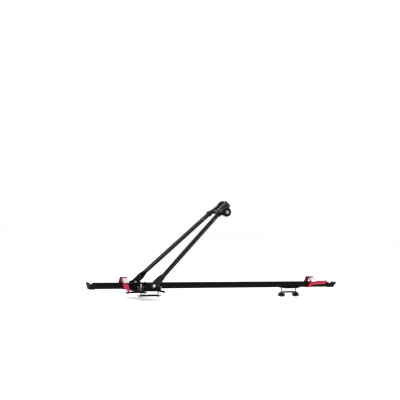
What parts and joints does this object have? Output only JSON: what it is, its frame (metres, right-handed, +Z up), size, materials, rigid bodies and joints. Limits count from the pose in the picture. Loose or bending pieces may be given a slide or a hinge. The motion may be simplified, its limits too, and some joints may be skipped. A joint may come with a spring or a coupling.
{
  "type": "roof mounted bike carrier",
  "caption": "Black roof carrier: tray rail on clamped feet, folding A-frame mast with screw-driven padded jaws and lock, red cam-buckle straps.",
  "frame": {"origin": "centre of the front seat, on the rail's centre plane, at the underside of the base pad", "axes": "+X along the rail to its rear end, +Y to the side away from the knob, +Z up"},
  "size_m": [1.406, 0.258, 0.4863],
  "materials": {
    "black_sheet": "black powder coat, low gloss",
    "gloss_tube": "gloss black enamel on steel tube",
    "black_cast": "black coated casting, satin",
    "black_moulding": "fine grained black moulding",
    "rubber": "matt ribbed rubber",
    "zinc": "bright zinc plate",
    "dull_zinc": "dull grey zinc, as cast or upset",
    "dark_steel": "oiled black steel",
    "black_rivet": "painted over with the base",
    "red_webbing": "woven polyester webbing",
    "buckle_steel": "polished zinc-plated pressing",
    "dull_buckle": "zinc-plated pressing gone dull",
    "bronze": "turned bronze",
    "white_nylon": "natural nylon",
    "lock_face": "plain pale metal lock face"
  },
  "bodies": {
    "base": {"rail": "black_sheet", "front_end_cap": "black_moulding", "rear_end_cap": "black_moulding", "base_plate": "black_sheet", "base_pad": "rubber", "rail_bolts": "zinc", "rail_nuts": "zinc", "near_pivot_bracket": "black_sheet", "far_pivot_bracket": "black_sheet", "bracket_rivets": "black_rivet", "pivot_bolts": "zinc", "pivot_nuts": "zinc", "pivot_washers": "dark_steel", "rear_saddle": "black_sheet", "rear_pad": "rubber", "rear_clamp_bolts": "zinc", "stud_washers": "zinc", "front_strap": "red_webbing", "front_buckle": "dull_buckle", "front_buckle_pin": "zinc", "rear_strap": "red_webbing", "rear_buckle": "dull_buckle", "rear_buckle_pin": "zinc"},
    "mast": {"near_arm": "gloss_tube", "far_arm": "gloss_tube", "arm_bushes": "white_nylon", "arm_rivets": "dull_zinc", "near_end_block": "black_cast", "far_jaw": "black_cast", "far_jaw_pad": "rubber", "tie_tube": "black_cast", "tie_bolt": "zinc", "tie_nut": "zinc"},
    "near_jaw": {"near_jaw": "black_cast", "near_jaw_pad": "rubber", "jaw_nut": "bronze"},
    "knob": {"clamp_screw": "zinc", "clamp_knob": "black_moulding", "thrust_washer": "white_nylon", "screw_clip": "dark_steel"},
    "lock": {"lock_core": "lock_face"},
    "near_clamp": {"near_clamp_plate": "black_sheet", "near_clamp_pad": "rubber", "near_clamp_bolts": "zinc"},
    "near_front_nut": {"near_wing_nut_front": "dull_zinc"},
    "near_rear_nut": {"near_wing_nut_rear": "dull_zinc"},
    "far_clamp": {"far_clamp_plate": "black_sheet", "far_clamp_pad": "rubber", "far_clamp_bolts": "zinc"},
    "far_front_nut": {"far_wing_nut_front": "dull_zinc"},
    "far_rear_nut": {"far_wing_nut_rear": "dull_zinc"},
    "rear_clamp": {"rear_clamp_plate": "black_sheet", "rear_clamp_pad": "rubber", "rear_clamp_washers": "zinc"},
    "front_foot_knob": {"rear_knob_front": "black_moulding"},
    "rear_foot_knob": {"rear_knob_rear": "black_moulding"},
    "front_cam": {"front_buckle_cam": "buckle_steel"},
    "rear_cam": {"rear_buckle_cam": "buckle_steel"}
  },
  "joints": [
    {"name": "mast_fold", "type": "hinge", "parent": "base", "child": "mast", "pos_m": [0.004, 0, 0.028], "axis": [0, 1, 0], "range_deg": [-60, 37]},
    {"name": "knob_turn", "type": "hinge", "parent": "mast", "child": "knob", "pos_m": [0.40086, 0, 0.38549], "axis": [0, -1, 0], "range_deg": [-1080, 1800]},
    {"name": "jaw_slide", "type": "slide", "parent": "mast", "child": "near_jaw", "axis": [0, -1, 0], "range_m": [-0.0091, 0.0151]},
    {"name": "lock_turn", "type": "hinge", "parent": "knob", "child": "lock", "pos_m": [0.40086, 0, 0.38549], "axis": [0, -1, 0], "range_deg": [0, 90]},
    {"name": "near_front_nut_turn", "type": "hinge", "parent": "base", "child": "near_front_nut", "pos_m": [-0.044, -0.08, 0.0076], "axis": [0, 0, 1], "range_deg": [-1440, 2880]},
    {"name": "near_rear_nut_turn", "type": "hinge", "parent": "base", "child": "near_rear_nut", "pos_m": [0.044, -0.08, 0.0076], "axis": [0, 0, 1], "range_deg": [-1445, 2885]},
    {"name": "near_clamp_slide", "type": "slide", "parent": "base", "child": "near_clamp", "axis": [0, 0, -1], "range_m": [-0.0051, 0.0101]},
    {"name": "far_front_nut_turn", "type": "hinge", "parent": "base", "child": "far_front_nut", "pos_m": [-0.044, 0.08, 0.0076], "axis": [0, 0, 1], "range_deg": [-1440, 2880]},
    {"name": "far_rear_nut_turn", "type": "hinge", "parent": "base", "child": "far_rear_nut", "pos_m": [0.044, 0.08, 0.0076], "axis": [0, 0, 1], "range_deg": [-1445, 2885]},
    {"name": "far_clamp_slide", "type": "slide", "parent": "base", "child": "far_clamp", "axis": [0, 0, -1], "range_m": [-0.0051, 0.0101]},
    {"name": "rear_clamp_slide", "type": "slide", "parent": "base", "child": "rear_clamp", "axis": [0, 0, -1], "range_m": [-0.00505, 0.00505]},
    {"name": "front_foot_knob_turn", "type": "hinge", "parent": "rear_clamp", "child": "front_foot_knob", "pos_m": [0.79, 0, -0.03], "axis": [0, 0, -1], "range_deg": [-1440, 1440]},
    {"name": "rear_foot_knob_turn", "type": "hinge", "parent": "rear_clamp", "child": "rear_foot_knob", "pos_m": [0.878, 0, -0.03], "axis": [0, 0, -1], "range_deg": [-1445, 1445]},
    {"name": "front_cam_lift", "type": "hinge", "parent": "base", "child": "front_cam", "pos_m": [-0.103, -0.02915, 0.05277], "axis": [-1, 0, 0], "range_deg": [0, 60], "stiffness_Nm_per_rad": 0.1, "springref_deg": -34.38},
    {"name": "rear_cam_lift", "type": "hinge", "parent": "base", "child": "rear_cam", "pos_m": [0.962, -0.02915, 0.05277], "axis": [-1, 0, 0], "range_deg": [0, 60], "stiffness_Nm_per_rad": 0.1, "springref_deg": -34.38}
  ],
  "couplings": [
    {"joint": "jaw_slide", "follows": "knob_turn", "m_per_rad": 0.00047746},
    {"joint": "near_rear_nut_turn", "follows": "near_front_nut_turn", "ratio": 1},
    {"joint": "near_clamp_slide", "follows": "near_front_nut_turn", "m_per_rad": 0.00019894},
    {"joint": "far_rear_nut_turn", "follows": "far_front_nut_turn", "ratio": 1},
    {"joint": "far_clamp_slide", "follows": "far_front_nut_turn", "m_per_rad": 0.00019894},
    {"joint": "rear_foot_knob_turn", "follows": "front_foot_knob_turn", "ratio": 1},
    {"joint": "rear_clamp_slide", "follows": "front_foot_knob_turn", "m_per_rad": 0.00019894}
  ]
}
